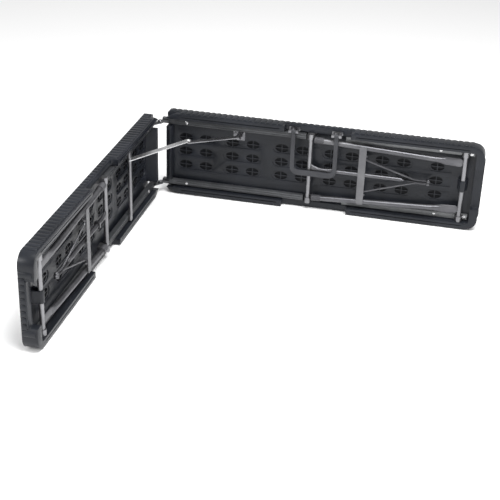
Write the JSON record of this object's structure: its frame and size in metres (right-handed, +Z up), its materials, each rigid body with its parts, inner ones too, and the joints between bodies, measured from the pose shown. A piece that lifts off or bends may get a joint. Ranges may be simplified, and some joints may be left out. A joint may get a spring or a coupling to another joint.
{
  "type": "folding bench",
  "caption": "Narrow fold-in-half table or bench with moulded plastic top halves, folding tube legs, braces, a fold stay and a carry handle.",
  "frame": {"origin": "bottom centre of the overall box, the object standing on its long edges and open to a right angle", "axes": "+Z up along the fold axis, +X along the right half away from the fold, -Y along the left half away from the fold"},
  "size_m": [0.9562, 0.9562, 0.25],
  "materials": {
    "dark_plastic": "satin moulded grain",
    "grey_plastic": "satin, ribbed",
    "grey_powder_coat": "dark grey powder coat",
    "satin_steel": "satin grey",
    "bright_zinc": "bright zinc plate"
  },
  "bodies": {
    "right_half": {"right_panel": "dark_plastic", "right_hinge_rail_lower": "grey_powder_coat", "right_hinge_rail_upper": "grey_powder_coat", "right_outer_rail_lower": "grey_powder_coat", "right_outer_rail_upper": "grey_powder_coat", "right_hinge_rail_rivet_lower": "bright_zinc", "right_hinge_rail_rivet_upper": "bright_zinc", "right_outer_rail_rivet_lower": "bright_zinc", "right_outer_rail_rivet_upper": "bright_zinc", "right_leg_bush_lower": "grey_powder_coat", "right_leg_bush_upper": "grey_powder_coat", "right_brace_bush_lower": "grey_powder_coat", "right_brace_bush_upper": "grey_powder_coat", "hinge_pin_lower": "bright_zinc", "hinge_pin_upper": "bright_zinc", "right_stay_bracket": "bright_zinc", "handle_clip_inner": "bright_zinc", "handle_clip_outer": "bright_zinc"},
    "left_half": {"left_panel": "dark_plastic", "left_hinge_rail_lower": "grey_powder_coat", "left_hinge_rail_upper": "grey_powder_coat", "left_outer_rail_lower": "grey_powder_coat", "left_outer_rail_upper": "grey_powder_coat", "left_hinge_rail_rivet_lower": "bright_zinc", "left_hinge_rail_rivet_upper": "bright_zinc", "left_outer_rail_rivet_lower": "bright_zinc", "left_outer_rail_rivet_upper": "bright_zinc", "left_leg_bush_lower": "grey_powder_coat", "left_leg_bush_upper": "grey_powder_coat", "left_brace_bush_lower": "grey_powder_coat", "left_brace_bush_upper": "grey_powder_coat", "left_cross_tube": "satin_steel"},
    "right_legs": {"right_pivot_tube": "satin_steel", "right_crossbar": "satin_steel", "right_leg_lower": "satin_steel", "right_leg_upper": "satin_steel", "right_foot_lower": "grey_plastic", "right_foot_upper": "grey_plastic"},
    "right_fork": {"right_fork_rod_lower": "satin_steel", "right_fork_rod_upper": "satin_steel"},
    "right_brace": {"right_brace_tube": "satin_steel", "right_brace_arm": "satin_steel"},
    "right_lock_ring": {"right_lock_ring": "satin_steel"},
    "left_legs": {"left_pivot_tube": "satin_steel", "left_crossbar": "satin_steel", "left_leg_lower": "satin_steel", "left_leg_upper": "satin_steel", "left_foot_lower": "grey_plastic", "left_foot_upper": "grey_plastic"},
    "left_fork": {"left_fork_rod_lower": "satin_steel", "left_fork_rod_upper": "satin_steel"},
    "left_brace": {"left_brace_tube": "satin_steel", "left_brace_arm": "satin_steel"},
    "left_lock_ring": {"left_lock_ring": "satin_steel"},
    "stay_left": {"stay_link_left": "bright_zinc"},
    "stay_right": {"stay_link_right": "bright_zinc"},
    "handle": {"carry_handle": "grey_plastic"}
  },
  "joints": [
    {"name": "fold", "type": "hinge", "parent": "right_half", "child": "left_half", "pos_m": [-0.4371, 0.4371, 0.125], "axis": [0, 0, -1], "range_deg": [-90, 90]},
    {"name": "right_legs_fold", "type": "hinge", "parent": "right_half", "child": "right_legs", "pos_m": [0.4244, 0.4486, 0.125], "axis": [0, 0, 1], "range_deg": [0, 90]},
    {"name": "right_brace_swing", "type": "hinge", "parent": "right_half", "child": "right_brace", "pos_m": [-0.0031, 0.4486, 0.125], "axis": [0, 0, 1], "range_deg": [-28.63, 0]},
    {"name": "right_fork_swing", "type": "hinge", "parent": "right_legs", "child": "right_fork", "pos_m": [0.1529, 0.4441, 0.125], "axis": [0, 0, 1], "range_deg": [0, 49.78]},
    {"name": "right_ring_slide", "type": "slide", "parent": "right_brace", "child": "right_lock_ring", "axis": [1, 0, 0], "range_m": [0, 0.19]},
    {"name": "left_legs_fold", "type": "hinge", "parent": "left_half", "child": "left_legs", "pos_m": [-0.4486, -0.4244, 0.125], "axis": [0, 0, -1], "range_deg": [0, 90]},
    {"name": "left_brace_swing", "type": "hinge", "parent": "left_half", "child": "left_brace", "pos_m": [-0.4486, 0.0031, 0.125], "axis": [0, 0, -1], "range_deg": [-28.63, 0]},
    {"name": "left_fork_swing", "type": "hinge", "parent": "left_legs", "child": "left_fork", "pos_m": [-0.4441, -0.1529, 0.125], "axis": [0, 0, -1], "range_deg": [0, 49.78]},
    {"name": "left_ring_slide", "type": "slide", "parent": "left_brace", "child": "left_lock_ring", "axis": [0, -1, 0], "range_m": [0, 0.19]},
    {"name": "stay_left_swing", "type": "hinge", "parent": "left_half", "child": "stay_left", "pos_m": [-0.4446, 0.1871, 0.2022], "axis": [0, 0, -1], "range_deg": [-32.22, 32.22]},
    {"name": "stay_right_swing", "type": "hinge", "parent": "right_half", "child": "stay_right", "pos_m": [-0.2111, 0.4411, 0.197], "axis": [0, 0, 1], "range_deg": [-32.27, 32.27]},
    {"name": "handle_swing", "type": "hinge", "parent": "right_half", "child": "handle", "pos_m": [0.0094, 0.4371, 0.235], "axis": [-1, 0, 0], "range_deg": [0, 180]}
  ],
  "couplings": [
    {"joint": "handle_swing", "follows": "right_legs_fold", "ratio": 2},
    {"joint": "stay_left_swing", "follows": "fold", "ratio": 0.35787},
    {"joint": "stay_right_swing", "follows": "fold", "ratio": 0.35842},
    {"joint": "right_brace_swing", "follows": "right_legs_fold", "ratio": -0.31798},
    {"joint": "right_fork_swing", "follows": "right_legs_fold", "ratio": 0.55301},
    {"joint": "left_brace_swing", "follows": "left_legs_fold", "ratio": -0.31798},
    {"joint": "left_fork_swing", "follows": "left_legs_fold", "ratio": 0.55301}
  ]
}
